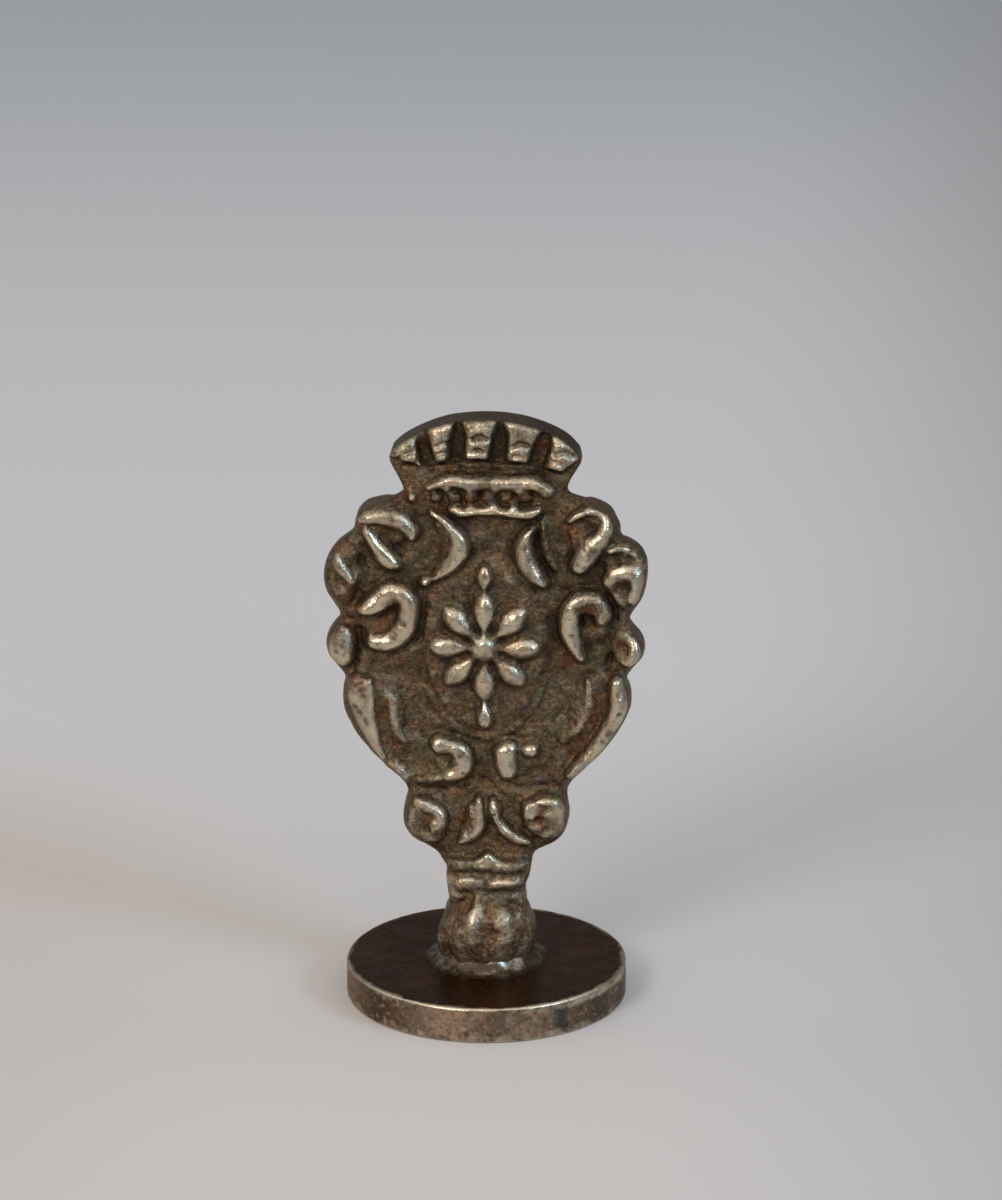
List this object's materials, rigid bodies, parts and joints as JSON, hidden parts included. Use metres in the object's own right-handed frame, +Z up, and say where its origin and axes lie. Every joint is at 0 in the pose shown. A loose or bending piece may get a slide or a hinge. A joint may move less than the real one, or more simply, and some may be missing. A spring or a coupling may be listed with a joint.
{
  "type": "wax seal stamp",
  "caption": "Small cast metal wax seal stamp: a flat crowned baroque cartouche handle with scrolls and a rosette shield, soldered upright on a round seal disc with a sunk rosette.",
  "frame": {"origin": "centre of the disc's sealing face, on the surface that the stamp stands on", "axes": "+Z up along the handle, front of the cartouche facing -Y, +X across the cartouche"},
  "size_m": [0.0228, 0.02, 0.0426],
  "materials": {
    "cast_silver_alloy": "tarnished casting, dark brown in the hollows, worn bright on the raised scrolls",
    "disc_metal": "dark patina on the upper face, mottled grey edge with worn rims",
    "solder": "dull grey lumpy solder"
  },
  "bodies": {
    "root": {"cast_handle": "cast_silver_alloy", "seal_disc": "disc_metal", "solder_joint": "solder"}
  },
  "joints": []
}
